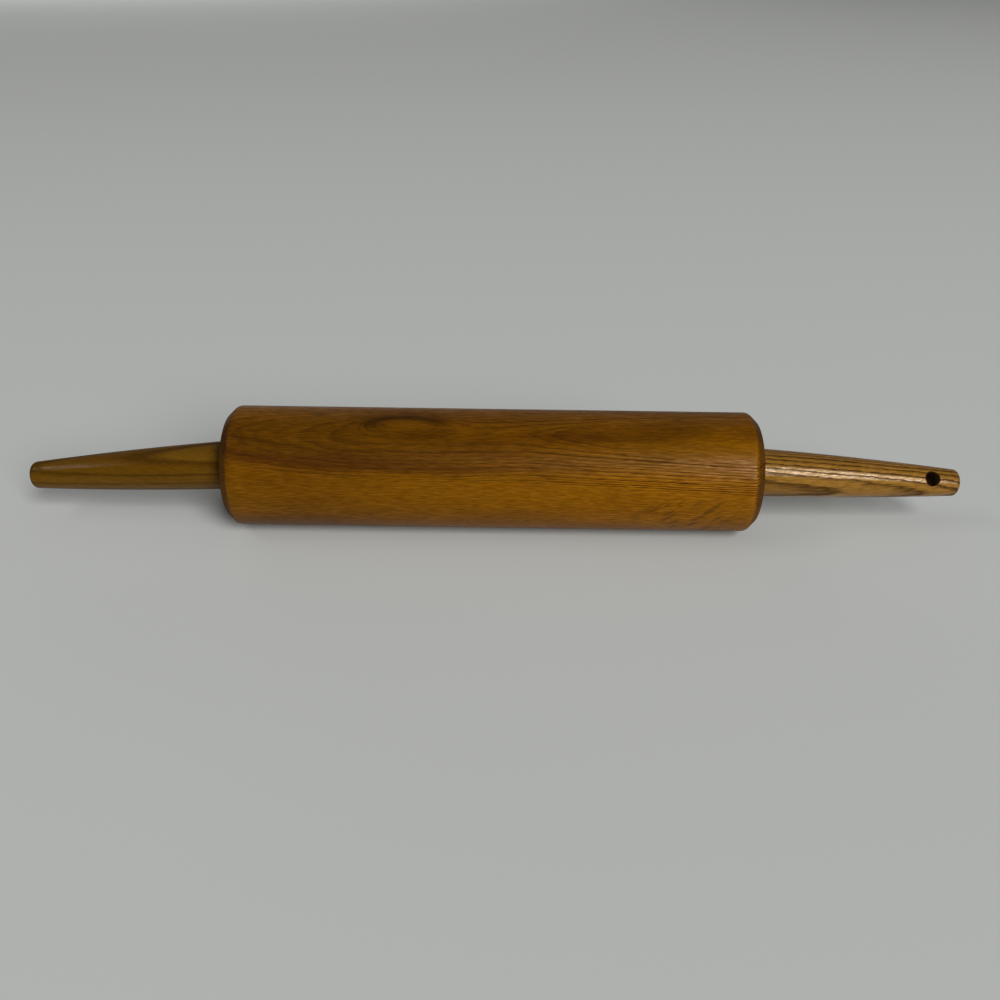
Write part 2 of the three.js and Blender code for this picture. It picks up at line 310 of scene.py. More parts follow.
# Rings: the start of each young one and how dark its line is, then how wide and dark the older ones are.
# The lines are lost below a growth that falls slowly to the right.
TOP_RINGS = (2.6, 1.2, 0.25, -0.1, -0.42, -0.6, -1.08, -1.7, -2.25, -2.75, -3.24)
TOP_DEPTHS = (0.25, 0.2, 0.2, 0.35, 0.9, 0.4, 0.7, 0.7, 0.4, 0.4, 0.7)
LAST_ARCH = -3.2
RING_WIDTH, RING_COUNT, OLD_RINGS, RING_WIDENING = 0.62, 100, 10, 0.06
RING_SPREAD, DEPTH_SPREAD = (0.5, 1.6), (0.45, 1.1)
LINES_END, LINES_SLOPE, LINES_FADE, FAINTEST_LINES, CHAMFER_LINES = -6.4, -0.013, 1.5, 0.15, 6
BACK_START, BACK_EASE, BACK_LINES = 22, 2, 0.85

# Regions: the left end, the right half, the crown behind the eye, the eye itself (its rim and outline in
# shares of its size), a long wedge on the right, a slanted line on the left, and the rays
LEFT_END, LEFT_END_EASE = -75, 10
RIGHT_START, RIGHT_EASE = 40, 22
CROWN_START, CROWN_EASE, CROWN_ARCH, CROWN_ARCH_LENGTH = 8, 1.5, 7, 25
EYE_ALONG, EYE_ACROSS, EYE_LENGTH, EYE_WIDTH = -41.2, 6.5, 18.5, 5.8
EYE_MIDDLE, RIM_PLACE, RIM_WIDTH, OUTLINE_PLACE, OUTLINE_WIDTH = 0.6, 0.87, 0.25, 1.1, 0.42
WEDGE_START, WEDGE_SLOPE, WEDGE_WIDTH, WEDGE_WIDENING, WEDGE_WARMTH = 35, 0.065, 5, 0.03, 0.95
WEDGE_END, WEDGE_END_EASE = 97, 6
LINE_ALONG, LINE_ACROSS, LINE_LENGTH, LINE_WIDTH, LINE_SLOPE = -105, -3.9, 22, 0.9, -0.169
RAYS_START, RAYS_START_EASE, RAYS_END, RAYS_END_EASE, RAYS_DEPTH, RAYS_FADE = 72, 6, 112, 5, 11, 3

# Warmth by growth on the left, kept low on the back partly as painted light there
WARM_GROWTH = (-60, -40, -20, -5.6, -4.2, -3.2, -2.6, -1.7, -1.2, -0.3, 0.6)
WARM_LEFT = (0.3, 0.25, 0.1, 0, 0.85, 0.85, 0.8, 0.65, 0.55, 0.4, 0.15)
# Painted light, as it falls from the right: darker on the left, lighter on the right, and even on the crown
LEFT_PAINTED_LIGHT, RIGHT_PAINTED_LIGHT, CROWN_PAINTED_LIGHT, PAINTED_LIGHT_MIDDLE, PAINTED_LIGHT_EASE = 0.78, 1.28, 0.97, -5, 38
LEFT_CHAMFER_DARKER, RIGHT_CHAMFER_DARKER = 0.06, 0.36
# A painted highlight along the edge where each chamfer starts: its width, how deep into the chamfer it
# reaches, and how much lighter
EDGE_HIGHLIGHT_WIDTH, EDGE_HIGHLIGHT_CUT, EDGE_HIGHLIGHT_LIGHTER = 0.7, 2, 0.18
CROWN_POLISH, FRONT_POLISH = 3, 1.8
GRIME_AND_SHADE_EDGE = 0.3

# Patches on the figured face: each one's place along and across, its length and its width in millimetres
PATCHES = {
    "swelling": (-40.5, 8.8, 20, 6.4),
    "quiet": (-15, -3, 28, 3),
    "under_eye": (-35, 0.7, 16, 3),
    "olive": (-5, 7, 22, 6),
    "low_left": (-70, -8, 28, 16),
    "left_of_eye": (-71, -0.5, 14, 5),
    "right_knot": (-3.3, 1, 3, 0.9),
    "left_knot": (-82, 13.6, 3, 1.4),
    "rubbed_front": (118, -20, 30, 7),
}
# Slow drifts lighter or darker over the face: the same four sizes, and how much lighter or darker each one
# is
DRIFTS = (
    (85, -6, 35, 6, -0.2),
    (85, -21, 35, 3, 0.15),
    (70, -3.8, 18, 2.2, -0.18),
    (70, -10.4, 18, 2.6, -0.12),
    (75, -14, 20, 3, -0.15),
    (64, 2.8, 22, 3.2, 0.24),
    (60, -27.8, 45, 1.5, 0.1),
    (36, -15.5, 18, 3.5, -0.22),
    (-15, 3, 18, 5, -0.15),
    (-73, -19, 22, 4, -0.16),
    (-76, -13, 32, 3, 0.22),
    (-110, -11.5, 20, 5, 0.12),
    (-118, -28.7, 20, 1.2, 0.22),
)


def soft_ramp(distance, ease):
    """Nothing below zero, the distance itself above it, and a smooth change over about the ease."""
    return ease * np.logaddexp(0, distance / ease)


def soft_step(distance, ease):
    """Nothing far below zero, one far above it, and a smooth change over about the ease."""
    return 1 / (1 + np.exp(-distance / ease))


def fading(distance, width):
    """One at no distance, fading to nothing over about the width on either side."""
    return np.exp(-((distance / width) ** 2))


def spot(along, across, length, width):
    """One in the middle, fading to nothing over a length along the grain and a width across it."""
    return fading(along, length) * fading(across, width)


def ring_years(growth, ring_starts):
    """Growth in millimetres as a count of years: whole at each ring's start, and even in between."""
    starts = np.sort(np.asarray(ring_starts, float))
    return np.interp(growth, starts, np.arange(len(starts)))


barrel_places = vertex_places(barrel) / MM
along = barrel_places[:, 0]
front, height = -barrel_places[:, 1], barrel_places[:, 2] - AXIS_HEIGHT / MM
radius = np.hypot(front, height)

# Over the chamfers the rings are followed at a third of their real slope, which leaves a slanted hatch
cut = np.clip(BARREL_RADIUS / MM - radius, 0, BARREL_CHAMFER / MM)
spread = 1 + (1 - CHAMFER_SLOPE) * cut / radius
face = FACE_RISE + RIGHT_TURN * soft_step(along, RIGHT_TURN_EASE)
outwards = spread * (height * np.sin(face) + front * np.cos(face))
sideways = spread * (height * np.cos(face) - front * np.sin(face))
on_face = outwards > 0
patch = {
    name: spot(along - middle, sideways - across, length, width) * on_face
    for name, (middle, across, length, width) in PATCHES.items()
}
arches = np.hypot(sideways, outwards + HEART_DEPTH) - HEART_DEPTH - BARREL_RADIUS / MM
climb = -CLIMB_SLOPE * soft_ramp(CLIMB_END - along, CLIMB_EASE) * np.exp(arches / CLIMB_FADE)
level = LEVEL_SLOPE * soft_ramp(along - LEVEL_START, LEVEL_EASE)
growth = arches + climb + level - FACE_DEPTH + SWELLING_HEIGHT * patch["swelling"]

# The eye's outline is open below and to the right
eye_along, eye_across = (along - EYE_ALONG) / EYE_LENGTH, (sideways - EYE_ACROSS) / EYE_WIDTH
from_eye = np.maximum(np.hypot(eye_along, eye_across), 0.05)
to_left, to_top = -eye_along / from_eye, eye_across / from_eye
open_side = np.clip(0.3 - to_top - 0.5 * to_left, 0, 1)
outline_gap = open_side * fading(from_eye - OUTLINE_PLACE, OUTLINE_WIDTH) * on_face
in_eye = fading(from_eye, EYE_MIDDLE) * on_face

# Dark lines mark the rings on the upper front, on the back and on the ends, and are all but lost between.
# The oldest rings are the widest.
chance = np.random.default_rng(4)
widths = RING_WIDTH * chance.uniform(*RING_SPREAD, RING_COUNT)
widths = widths * (1 + RING_WIDENING * np.maximum(np.arange(RING_COUNT) - OLD_RINGS, 0))
barrel_rings = np.concatenate([TOP_RINGS, TOP_RINGS[-1] - np.cumsum(widths)])
barrel_depths = np.concatenate([TOP_DEPTHS, chance.uniform(*DEPTH_SPREAD, RING_COUNT)])
chamfers = end_grain(barrel, (1, 0, 0))
to_right = soft_step(along - RIGHT_START, RIGHT_EASE)
left_end = soft_step(LEFT_END - along, LEFT_END_EASE) * soft_step(growth - LAST_ARCH, 0.3)
lines_end = LINES_END + LINES_SLOPE * along - CHAMFER_LINES * chamfers
lines = np.clip(1 + (growth - lines_end) / LINES_FADE, FAINTEST_LINES, 1)
lines = np.maximum(lines, BACK_LINES * soft_step(sideways - BACK_START, BACK_EASE))
lines = np.maximum(lines, np.clip((chamfers - 0.85) / 0.3, 0, 1))
figure = np.interp(growth, barrel_rings[::-1], barrel_depths[::-1]) * lines
figure = figure * (1 - 0.45 * left_end) * (1 - 0.9 * outline_gap) * (1 - 0.55 * patch["quiet"])

# They are strong on the end faces and the right chamfer and faint on the left one. To the right the arches
# fade, and the lines below them gain.
hatch = np.where((along > 0) | (cut >= BARREL_CHAMFER / MM), 0.7, -0.5)
figure = figure * (1 + hatch * chamfers)
figure = figure * np.where(growth < -1, 0.85 + 0.6 * to_right, 0.85 - 0.4 * to_right)

# The wood is redder above the lines, under the eye, and in the wedge that climbs to the right. Behind the
# crown, past an edge that arches over the eye, it is pale and even.
crown_start = CROWN_START + CROWN_ARCH * fading(along - EYE_ALONG, CROWN_ARCH_LENGTH)
crown = soft_step(sideways - crown_start, CROWN_EASE)
warm_left = np.interp(growth - level, WARM_GROWTH, WARM_LEFT) - 0.45 * left_end - 0.25 * in_eye
warm_left = warm_left + 0.5 * patch["under_eye"] - 0.3 * patch["olive"] + 0.15 * patch["low_left"]
warm_left = warm_left * (1 - 0.8 * crown)
from_wedge = sideways - WEDGE_SLOPE * (along - WEDGE_START)
wedge_width = WEDGE_WIDTH + WEDGE_WIDENING * along
warm_right = np.clip(WEDGE_WARMTH - (from_wedge / wedge_width) ** 2, 0, 1) * on_face
warm_right = warm_right * (1 - 0.6 * soft_step(along - WEDGE_END, WEDGE_END_EASE))
warmth = warm_left + (WEDGE_WARMTH * warm_right - warm_left) * to_right

# It is darker at the upper left end, over the lines, along the eye's upper rim, left of the eye, and at two
# knots
rim_side = np.clip(0.7 + 0.6 * to_top + 0.2 * to_left, 0, 1)
rim = fading(from_eye - RIM_PLACE, RIM_WIDTH) * rim_side * on_face
from_line = sideways - LINE_ACROSS - LINE_SLOPE * (along - LINE_ALONG)
left_line = spot(along - LINE_ALONG, from_line, LINE_LENGTH, LINE_WIDTH) * on_face
knots = np.maximum(patch["right_knot"], patch["left_knot"])
darkest = np.maximum.reduce([0.62 * rim, 0.5 * knots, 0.22 * patch["left_of_eye"], 0.5 * left_line])
# Painted light: darker to the left and lighter to the right, as the light falls from the right, and even on
# the crown
shade = LEFT_PAINTED_LIGHT + (RIGHT_PAINTED_LIGHT - LEFT_PAINTED_LIGHT) * soft_step(along - PAINTED_LIGHT_MIDDLE, PAINTED_LIGHT_EASE)
shade = shade + (CROWN_PAINTED_LIGHT - shade) * crown
shade = shade * (1 - 0.2 * left_end) * (1 - darkest)
for middle, across, length, width, strength in DRIFTS:
    shade = shade * (1 + strength * spot(along - middle, sideways - across, length, width) * on_face)
shade = shade * (1 + 0.12 * patch["olive"] - 0.1 * patch["under_eye"] - 0.12 * in_eye)
shade = shade * (1 - 0.14 * soft_step(growth - level - LAST_ARCH, 0.5) - 0.28 * to_right * warm_right)

# The chamfers are darker, most on the right, and a pale painted highlight runs along the edge where each one
# starts
from_edge = np.abs(along) - (BARREL_HALF - BARREL_CHAMFER) / MM
painted_edge_highlight = fading(from_edge, EDGE_HIGHLIGHT_WIDTH) * (cut < EDGE_HIGHLIGHT_CUT)
chamfer_darker = chamfers * np.where(along < 0, LEFT_CHAMFER_DARKER, RIGHT_CHAMFER_DARKER)
shade = shade * (1 - chamfer_darker) * (1 + EDGE_HIGHLIGHT_LIGHTER * painted_edge_highlight)
low_front = np.clip((-arches - RAYS_DEPTH) / RAYS_FADE, 0, 1) * (front > 0)
with_rays = soft_step(along - RAYS_START, RAYS_START_EASE) * soft_step(RAYS_END - along, RAYS_END_EASE)
# The seats in the barrel's ends are dull bare wood, painted nearly black as dirt and as painted shade
keep_on_vertices(
    barrel,
    years=ring_years(growth, barrel_rings),
    figure=figure,
    tone=warmth,
    shade=shade,
    polish=1 + CROWN_POLISH * crown + FRONT_POLISH * patch["rubbed_front"],
    rays=low_front * with_rays,
    end_grain=chamfers,
    grime=radius < FLANGE_SEAT_RADIUS / MM + GRIME_AND_SHADE_EDGE,
)
barrel.data.materials.append(
    varnished_oak(
        "amber_varnished_oak",
        light="#764900",
        warm="#4f2a01",
        dark="#2a1301",
        pore="#241101",
        sheen="#ffd088",
        fade=0.7,
        wander=0.12,
        fibres=0.26,
        gloss=(0.4, 0.12),
        film=(0.18, 0.3),
    )
)
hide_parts("barrel")
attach(barrel, "barrel")

# Left handle: a long taper of browner oak, turned with a slightly swelled side and a rounded tip, and
# bored for the brass insert. It leans down with the bent end of the axle.
HANDLE_LENGTHS = {"left": 97.85 * MM, "right": 99.85 * MM}
HANDLE_ROOT_RADIUS = 11.8 * MM
HANDLE_TIP_RADIUS = 6.35 * MM
HANDLE_SWELL = 0.65 * MM
HANDLE_ROOT_EDGE = 0.8 * MM
HANDLE_TIP_ROUND = 2 * MM
HANDLE_TIP_CROWN = 0.8 * MM
HANDLE_AROUND = 192
HANDLE_STEP = 1 * MM
TIP_CORNER_STEPS, TIP_FLAT_STEPS = 10, 9
INSERT_SEAT_RADIUS = 5.75 * MM
INSERT_SEAT_DEPTH = 22.1 * MM
AXLE_SEAT_RADIUS = 4.15 * MM
AXLE_SEAT_DEPTH = 47 * MM
BORE_EDGE = 0.3 * MM
ROOT_GAP = 0.3 * MM
LEFT_LEAN = math.radians(4.3)


def handle_radius(distance, length):
    """Straight taper from root to tip, plus a parabola that stands highest half way along."""
    share = distance / length
    taper = HANDLE_ROOT_RADIUS + (HANDLE_TIP_RADIUS - HANDLE_ROOT_RADIUS) * share
    return taper + 4 * HANDLE_SWELL * share * (1 - share)


def handle_profile(length):
    """The bore from its blind end to the root, the root face, the side, and a tip that is a quarter round
    on to a flat end, with a shallow dome added over both."""
    flat = length - HANDLE_TIP_CROWN
    side_end = flat - HANDLE_TIP_ROUND
    inner_radius = handle_radius(side_end, length) - HANDLE_TIP_ROUND
    bore = [
        (AXLE_SEAT_DEPTH, 0),
        (AXLE_SEAT_DEPTH, AXLE_SEAT_RADIUS),
        (INSERT_SEAT_DEPTH, AXLE_SEAT_RADIUS),
        (INSERT_SEAT_DEPTH, INSERT_SEAT_RADIUS),
        (0, INSERT_SEAT_RADIUS),
        (0, handle_radius(0, length)),
        (2 * HANDLE_ROOT_EDGE, handle_radius(2 * HANDLE_ROOT_EDGE, length)),
    ]
    root = eased(bore, [0, 0, 0, 0, BORE_EDGE, HANDLE_ROOT_EDGE, 0])
    distance = np.arange(3 * HANDLE_ROOT_EDGE, side_end, HANDLE_STEP)
    side = np.column_stack([distance, handle_radius(distance, length)])
    turn = np.linspace(np.pi / 2, 0, TIP_CORNER_STEPS)
    corner = np.column_stack(
        [side_end + HANDLE_TIP_ROUND * np.cos(turn), inner_radius + HANDLE_TIP_ROUND * np.sin(turn)]
    )
    end_radius = np.linspace(inner_radius, 0, TIP_FLAT_STEPS)[1:]
    tip = np.vstack([corner, np.column_stack([np.full_like(end_radius, flat), end_radius])])
    tip[:, 0] += HANDLE_TIP_CROWN * (1 - (tip[:, 1] / (inner_radius + HANDLE_TIP_ROUND)) ** 2)
    return np.vstack([root, side, tip])


def handle_axes(side, lean):
    """Root centre, and directions along the handle, towards the front and up, of a handle that leans."""
    offset = (ROOT_GAP + HANDLE_ROOT_RADIUS * math.sin(lean)) / math.cos(lean)
    outwards = np.array([side * math.cos(lean), 0, -math.sin(lean)])
    root = np.array([side * BARREL_HALF, 0, AXIS_HEIGHT]) + offset * outwards
    upwards = np.array([side * math.sin(lean), 0, math.cos(lean)])
    return root, outwards, np.array([0, -1, 0]), upwards


def handle_places(piece, axes, face_rise):
    """Millimetres along a handle, out through its figured face, and sideways round it, for each vertex."""
    root, outwards, front, upwards = axes
    offset = (vertex_places(piece) - root) / MM
    face = math.cos(face_rise) * front + math.sin(face_rise) * upwards
    cross = math.cos(face_rise) * upwards - math.sin(face_rise) * front
    return offset @ outwards, offset @ face, offset @ cross


left_axes = handle_axes(-1, LEFT_LEAN)
left_profile = handle_profile(HANDLE_LENGTHS["left"])
left_points = turned_points(left_profile, HANDLE_AROUND, left_axes[0], left_axes[1], left_axes[3])
left_handle = closed_mesh("left_handle_wood", left_points, grid_quads(*left_points.shape[:2], closed=False))

# Its rings are nearly flat and lie along it, with their heart far outside above. The taper cuts them one
# after the other, so that each shows as a long wedge that points to the tip. The barrel's shadow is painted
# dark on the root's upper front.
LEFT_FACE_RISE = math.radians(62)
LEFT_HEART_DISTANCE = 300
LEFT_RINGS = (-14, -10.8, -7.1, -2.9, 2, 7, 12)
LEFT_DEPTHS = (0.4, 0.55, 0.8, 0.5, 0.55, 0.55, 0.55)
LEFT_WARM_GROWTH, LEFT_WARMTH = (-10.8, -10.4, -6, 0), (0, 0.9, 0.4, 0.2)
ROOT_PAINTED_SHADOW, ROOT_PAINTED_SHADOW_LENGTH, ROOT_GRIME_AND_SHADE = 0.65, 3.2, 0.3

along, outwards, sideways = handle_places(left_handle, left_axes, LEFT_FACE_RISE)
growth = np.hypot(sideways, LEFT_HEART_DISTANCE - outwards) - LEFT_HEART_DISTANCE
# The barrel's shadow, painted on the root's upper front as a darker shade
painted_shadow_side = np.clip(0.5 + 0.05 * outwards, 0, 1)
# The root's face and bore are dull bare wood, painted nearly black as dirt and as painted shade
keep_on_vertices(
    left_handle,
    years=ring_years(growth, LEFT_RINGS),
    figure=np.interp(growth, LEFT_RINGS, LEFT_DEPTHS),
    tone=np.interp(growth, LEFT_WARM_GROWTH, LEFT_WARMTH),
    shade=1 - ROOT_PAINTED_SHADOW * fading(along, ROOT_PAINTED_SHADOW_LENGTH) * painted_shadow_side,
    polish=1,
    rays=0,
    end_grain=end_grain(left_handle, left_axes[1]),
    grime=along < ROOT_GRIME_AND_SHADE,
)
left_handle.data.materials.append(
    varnished_oak(
        "brown_varnished_oak",
        light="#614308",
        warm="#513203",
        dark="#2a1601",
        pore="#301b02",
        sheen="#ffc860",
        fade=0.5,
        wander=0.04,
        fibres=0.12,
        gloss=(0.45, 0.2),
        film=(0.28, 0.13),
        lean=-LEFT_LEAN,
    )
)
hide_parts("left_handle")
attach(left_handle, "handle_set")

# Right handle: the same turning in a lighter, straighter piece of oak with a glossier coat. A hang hole
# is drilled through it near the tip, and its two rims are softened with sandpaper.
RIGHT_LEAN = math.radians(2.5)
HOLE_RADIUS = 3.6 * MM
HOLE_FROM_ROOT = 85 * MM
HOLE_RISE = math.radians(40)
HOLE_RIM = 0.45 * MM
WINDOW_ROWS = 6
WINDOW_COLUMNS = 26
APRON_RINGS, RIM_RINGS, WALL_RINGS = 8, 6, 9


def drilled_handle(axes, length):
    """The turned grid with a window left out on each side of the hole. A tunnel joins the two windows: its
    rings run over the handle's surface from the window's edge to a circle, round the softened rim, and
    along the hole, and out the same way. A point of the surface lies sqrt(radius^2 - sideways^2) from
    the plane through the axis that is square to the hole."""
    root, outwards, front, upwards = axes
    drill = math.cos(HOLE_RISE) * front + math.sin(HOLE_RISE) * upwards
    across = np.cross(outwards, drill)
    profile = handle_profile(length)
    points = turned_points(profile, HANDLE_AROUND, root, outwards, drill)
    quads = grid_quads(*points.shape[:2], closed=False)

    on_side = profile[:, 1] > AXLE_SEAT_RADIUS
    row = int(np.argmin(np.where(on_side, np.abs(profile[:, 0] - HOLE_FROM_ROOT), 1)))
    rows = np.arange(row - WINDOW_ROWS, row + WINDOW_ROWS + 1)
    columns = np.arange(-WINDOW_COLUMNS, WINDOW_COLUMNS + 1)
    kept = np.ones(quads.shape[:2], bool)
    for start in (0, HANDLE_AROUND // 2):
        kept[np.ix_(rows[:-1], (columns[:-1] + start) % HANDLE_AROUND)] = False

    # The window's edge as one loop, and the same loop on the far side
    loop_rows = np.concatenate(
        [np.full(len(columns) - 1, rows[0]), rows[:-1], np.full(len(columns) - 1, rows[-1]), rows[:0:-1]]
    )
    ends = np.full(len(rows) - 1, columns[-1])
    loop_columns = np.concatenate([columns[:-1], ends, columns[:0:-1], -ends])
    near_loop = loop_rows * HANDLE_AROUND + loop_columns % HANDLE_AROUND
    far_loop = loop_rows * HANDLE_AROUND + (HANDLE_AROUND // 2 - loop_columns) % HANDLE_AROUND

    edge = points.reshape(-1, 3)[near_loop] - (root + HOLE_FROM_ROOT * outwards)
    edge = np.column_stack([edge @ outwards, edge @ across])
    spoke = edge / np.linalg.norm(edge, axis=1, keepdims=True)
    share = np.linspace(0, 1, APRON_RINGS + 1)[1:, None, None]
    apron = (1 - share) * edge + share * spoke * (HOLE_RADIUS + HOLE_RIM)
    apron_radius = handle_radius(HOLE_FROM_ROOT + apron[..., 0], length)
    apron_height = np.sqrt(apron_radius**2 - apron[..., 1] ** 2)
    turn = np.linspace(0, np.pi / 2, RIM_RINGS + 1)[1:, None]
    rim = spoke * (HOLE_RADIUS + HOLE_RIM * (1 - np.sin(turn)))[..., None]
    rim_height = apron_height[-1] - HOLE_RIM * (1 - np.cos(turn))
    share = np.linspace(1, -1, WALL_RINGS + 2)[1:-1, None]
    wall_height = share * rim_height[-1]
    wall = np.broadcast_to(rim[-1], (WALL_RINGS, *rim[-1].shape))
    flat = np.concatenate([apron, rim, wall, rim[::-1], apron[::-1]])
    tall = np.concatenate([apron_height, rim_height, wall_height, -rim_height[::-1], -apron_height[::-1]])
    tunnel = (
        root
        + (HOLE_FROM_ROOT + flat[..., :1]) * outwards
        + flat[..., 1:] * across
        + tall[..., None] * drill
    )
    count = points.shape[0] * points.shape[1]
    tunnel_numbers = count + np.arange(tall.size).reshape(tall.shape)
    numbers = np.vstack([near_loop, tunnel_numbers, far_loop])
    beside = np.roll(numbers, -1, axis=1)
    tunnel_quads = np.stack([numbers[:-1], beside[:-1], beside[1:], numbers[1:]], axis=-1)
    all_points = np.vstack([points.reshape(-1, 3), tunnel.reshape(-1, 3)])
    return all_points, np.vstack([quads[kept], tunnel_quads.reshape(-1, 4)])


right_axes = handle_axes(1, RIGHT_LEAN)
right_handle = closed_mesh("right_handle_wood", *drilled_handle(right_axes, HANDLE_LENGTHS["right"]))

# Its rings are nearly flat, and the youngest touch its lower front in long flames that point to the tip.
RIGHT_FACE_RISE = math.radians(-20)
RIGHT_HEART_DEPTH = 200
RIGHT_RINGS = (12.6, 9.95, 7.45, 5.8, 3.7, 1.2, -1.2, -3, -5, -7, -9.5, -12.5)
RIGHT_DEPTHS = (1, 1, 1, 1.2, 1.3, 1, 1.3, 0.6, 1.1, 1, 1, 1)
RIGHT_WARMTH = 0.3
HOLE_GRIME_AND_SHADE_EDGE = 0.3 * MM

along, outwards, sideways = handle_places(right_handle, right_axes, RIGHT_FACE_RISE)
growth = np.hypot(sideways, outwards + RIGHT_HEART_DEPTH) - RIGHT_HEART_DEPTH
drill = math.cos(HOLE_RISE) * right_axes[2] + math.sin(HOLE_RISE) * right_axes[3]
from_hole = vertex_places(right_handle) - right_axes[0] - HOLE_FROM_ROOT * right_axes[1]
from_hole = np.linalg.norm(from_hole - np.outer(from_hole @ drill, drill), axis=1)
# The hole's wall is dull bare wood, painted nearly black as dirt and as painted shade
keep_on_vertices(
    right_handle,
    years=ring_years(growth, RIGHT_RINGS),
    figure=np.interp(growth, RIGHT_RINGS[::-1], RIGHT_DEPTHS[::-1]),
    tone=RIGHT_WARMTH,
    shade=1,
    polish=1,
    rays=0,
    end_grain=end_grain(right_handle, right_axes[1]),
    grime=np.clip(1 + (HOLE_RADIUS - from_hole) / HOLE_GRIME_AND_SHADE_EDGE, 0, 1),
)
right_handle.data.materials.append(
    varnished_oak(
        "golden_varnished_oak",
        light="#8f6523",
        warm="#764f12",
        dark="#351d05",
        pore="#2a1803",
        sheen="#ffd58a",
        fade=0.7,
        wander=0.1,
        fibres=0.28,
        gloss=(0.24, 0.3),
        film=(0.9, 0.13),
        lean=RIGHT_LEAN,
    )
)
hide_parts("right_handle")
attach(right_handle, "handle_set")

# Axle: a drawn mild steel rod that runs through the whole barrel into both handles, bent a little at each
# end of the barrel. It is dull grey, with fine draw lines along it and darker spots of old oil.
def rubbed_metal(name, clean, dull, line_scale, roughness):
    """Bare metal with fine tool marks and a patchy film. line_scale gives marks per millimetre along X, Y
    and Z, so that they run along a drawn rod or round a turned piece."""
    material = bpy.data.materials.new(name)
    material.use_nodes = True
    tree = material.node_tree
    tree.nodes.clear()
    place = add_node(tree, "TexCoord", {})
    in_mm = add_node(tree, "Mapping", {"Vector": place.outputs["Object"], "Scale": (1000, 1000, 1000)})
    marks = add_node(tree, "Mapping", {"Vector": in_mm, "Scale": line_scale})
    marks = add_node(tree, "TexNoise", {"Vector": marks, "Scale": 1.0, "Detail": 2.0})
    film = add_node(tree, "TexNoise", {"Vector": in_mm, "Scale": 0.35, "Detail": 4.0})
    patches = {"Value": film.outputs[0], "From Min": 0.45, "From Max": 0.7, "To Max": 0.8}
    film = add_node(tree, "MapRange", patches)
    colour = add_node(tree, "Mix", {0: film, 6: linear(clean), 7: linear(dull)}, data_type="RGBA")
    rough = add_node(
        tree, "MapRange", {"Value": marks.outputs[0], "To Min": roughness - 0.1, "To Max": roughness + 0.15}
    )
    bump = add_node(tree, "Bump", {"Height": marks.outputs[0], "Strength": 0.15, "Distance": 0.0001})
    metal = add_node(
        tree,
        "BsdfPrincipled",
        {"Base Color": colour, "Metallic": 1.0, "Roughness": rough, "Normal": bump},
    )
    add_node(tree, "OutputMaterial", {"Surface": metal})
    return material


drawn_steel = rubbed_metal(
    "drawn_mild_steel", clean="#8b8c8d", dull="#4a4640", line_scale=(1 / 30, 4, 4), roughness=0.4
)
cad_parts["axle_rod"].data.materials.clear()
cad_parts["axle_rod"].data.materials.append(drawn_steel)

# Thrust washers and stop nuts: zinc-plated steel, pressed and cut, sunk in the ends of the barrel. The nuts
# sit on the axle's thread, and the washers keep them off the bushings, so that the barrel runs freely.
zinc_plate = rubbed_metal(
    "zinc_plated_steel", clean="#9da0a2", dull="#6f6c66", line_scale=(1.5, 1.5, 1.5), roughness=0.36
)
for side in ("left", "right"):
    for kind in ("thrust_washer", "stop_nut"):
        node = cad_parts[f"{side}_{kind}"]
        node.data.materials.clear()
        node.data.materials.append(zinc_plate)

# Handle inserts: brass sleeves turned on a lathe and screwed into the roots of the handles. The ends of
# the axle are screwed into them, which holds the handles on.
turned_brass = rubbed_metal(
    "turned_brass", clean="#b79a55", dull="#7a6233", line_scale=(5, 0.3, 0.3), roughness=0.34
)
for side in ("left", "right"):
    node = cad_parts[f"{side}_handle_insert"]
    node.data.materials.clear()
    node.data.materials.append(turned_brass)

# Bushings: flanged sleeves of natural nylon, moulded and pressed into the ends of the barrel, where they
# turn with it on the axle. They are milky, and greyed by use.
NYLON_MILKY, NYLON_GREYED = "#d9d3c2", "#a89f8a"
NYLON_CLOUDS_PER_METRE = 260.0
bushing_nylon = bpy.data.materials.new("moulded_nylon")
bushing_nylon.use_nodes = True
nylon_tree = bushing_nylon.node_tree
nylon_tree.nodes.clear()
nylon_place = add_node(nylon_tree, "TexCoord", {})
nylon_clouds = {"Vector": nylon_place.outputs["Object"], "Scale": NYLON_CLOUDS_PER_METRE, "Detail": 4.0}
nylon_cloud = add_node(nylon_tree, "TexNoise", nylon_clouds)
nylon_shades = {0: nylon_cloud.outputs[0], 6: linear(NYLON_MILKY), 7: linear(NYLON_GREYED)}
nylon_colour = add_node(nylon_tree, "Mix", nylon_shades, data_type="RGBA")
nylon_skin = add_node(
    nylon_tree,
    "BsdfPrincipled",
    {
        "Base Color": nylon_colour,
        "Roughness": 0.5,
        "IOR": 1.53,
        "Subsurface Weight": 0.1,
        "Subsurface Scale": 0.002,
    },
)
add_node(nylon_tree, "OutputMaterial", {"Surface": nylon_skin})
for side in ("left", "right"):
    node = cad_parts[f"{side}_bushing"]
    node.data.materials.clear()
    node.data.materials.append(bushing_nylon)

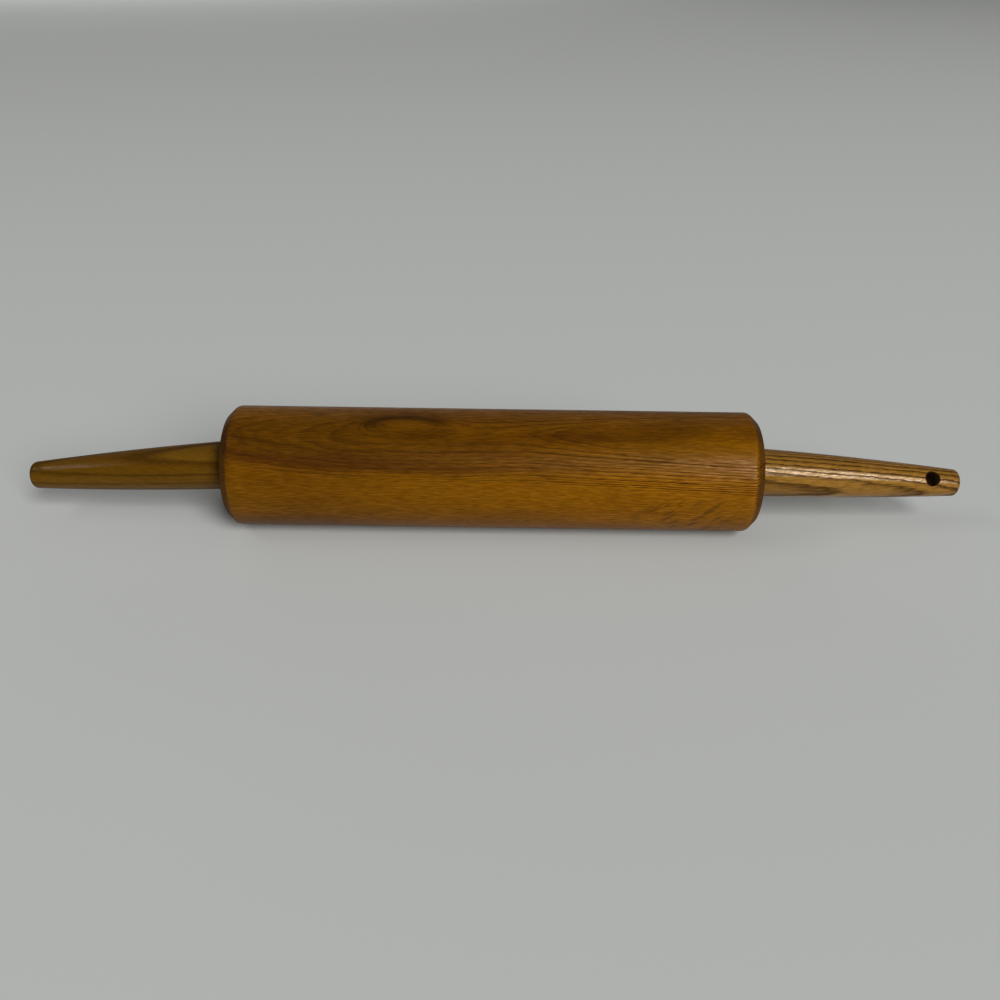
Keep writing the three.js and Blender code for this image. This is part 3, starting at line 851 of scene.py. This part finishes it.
# Floor: a plain pale table top under the pin, painted matt so that it takes only soft shadows. It is
# wide enough to fill the view to its upper edge.
FLOOR_HALF = 5.5
FLOOR_GREY = "#c9cbc8"
floor_mesh = bpy.data.meshes.new("floor")
floor_corners = FLOOR_HALF * np.array([(-1, -1, 0), (1, -1, 0), (1, 1, 0), (-1, 1, 0)])
floor_mesh.from_pydata(floor_corners.tolist(), [], [(0, 1, 2, 3)])
floor = bpy.data.objects.new("floor", floor_mesh)
bpy.context.scene.collection.objects.link(floor)
floor_paint = bpy.data.materials.new("matt_pale_grey_paint")
floor_paint.use_nodes = True
floor_tree = floor_paint.node_tree
floor_tree.nodes.clear()
floor_skin = add_node(floor_tree, "BsdfDiffuse", {"Color": linear(FLOOR_GREY)})
add_node(floor_tree, "OutputMaterial", {"Surface": floor_skin})
floor_mesh.materials.append(floor_paint)

# Studio light: a large soft box far off behind the camera on the right, a narrow one above on the left, a
# weak one behind that lights the back, and an even pale surround.
def soft_box(name, place, target, size, watts, mirrored=True):
    """A rectangular lamp at a place, facing a target. One that isn't mirrored shows in no gloss."""
    lamp = bpy.data.lights.new(name, "AREA")
    lamp.shape = "RECTANGLE"
    lamp.size, lamp.size_y = size
    lamp.energy = watts
    holder = bpy.data.objects.new(name, lamp)
    holder.visible_camera = False
    holder.visible_glossy = mirrored
    aim = Vector(target) - Vector(place)
    holder.matrix_world = Matrix.Translation(place) @ aim.to_track_quat("-Z", "Y").to_matrix().to_4x4()
    bpy.context.scene.collection.objects.link(holder)


SURROUND_LEVEL = 0.15
soft_box("key_box", place=(3.75, -6.55, 4.9), target=(0, 0, 0), size=(3.4, 5.8), watts=780)
soft_box("fill_box", place=(-1.69, -0.55, 1.9), target=(0, -0.55, 0), size=(1.2, 0.15), watts=5.5)
soft_box("back_box", place=(-2.2, 5.0, 0.9), target=(0, 0, 0), size=(3.0, 1.2), watts=44, mirrored=False)
surround = bpy.data.worlds.new("pale_surround")
surround.use_nodes = True
surround_tree = surround.node_tree
surround_tree.nodes.clear()
glow = add_node(surround_tree, "Background", {"Color": linear("#ffffff"), "Strength": SURROUND_LEVEL})
add_node(surround_tree, "OutputWorld", {"Surface": glow})
bpy.context.scene.world = surround

# Camera: the photograph's view, looking down on the pin from the front with a slight roll. The barrel's
# middle stands at the given distances right of, below and in front of the lens.
FOCAL_PIXELS, IMAGE_PIXELS, SENSOR_WIDTH = 1000, 1000, 36.0
PITCH, ROLL = math.radians(30), math.radians(0.82)
BARREL_RIGHT, BARREL_DOWN, BARREL_AWAY = -3.67 * MM, -15.49 * MM, 488.5 * MM
view_right = Vector((1, 0, 0))
view_up = Vector((0, math.sin(PITCH), math.cos(PITCH)))
forward = Vector((0, math.cos(PITCH), -math.sin(PITCH)))
rolled_right = view_right * math.cos(ROLL) + view_up * math.sin(ROLL)
rolled_up = view_up * math.cos(ROLL) - view_right * math.sin(ROLL)
camera_place = Vector((0, 0, AXIS_HEIGHT)) - (
    BARREL_RIGHT * rolled_right - BARREL_DOWN * rolled_up + BARREL_AWAY * forward
)
lens = bpy.data.cameras.new("camera")
lens.sensor_fit = "HORIZONTAL"
lens.sensor_width = SENSOR_WIDTH
lens.lens = FOCAL_PIXELS / IMAGE_PIXELS * SENSOR_WIDTH
lens.clip_start = 0.01
camera = bpy.data.objects.new("camera", lens)
camera.matrix_world = Matrix.Translation(camera_place) @ Matrix(
    [rolled_right, rolled_up, -forward]
).transposed().to_4x4()
bpy.context.scene.collection.objects.link(camera)
bpy.context.scene.camera = camera
bpy.context.scene.view_settings.view_transform = "Standard"
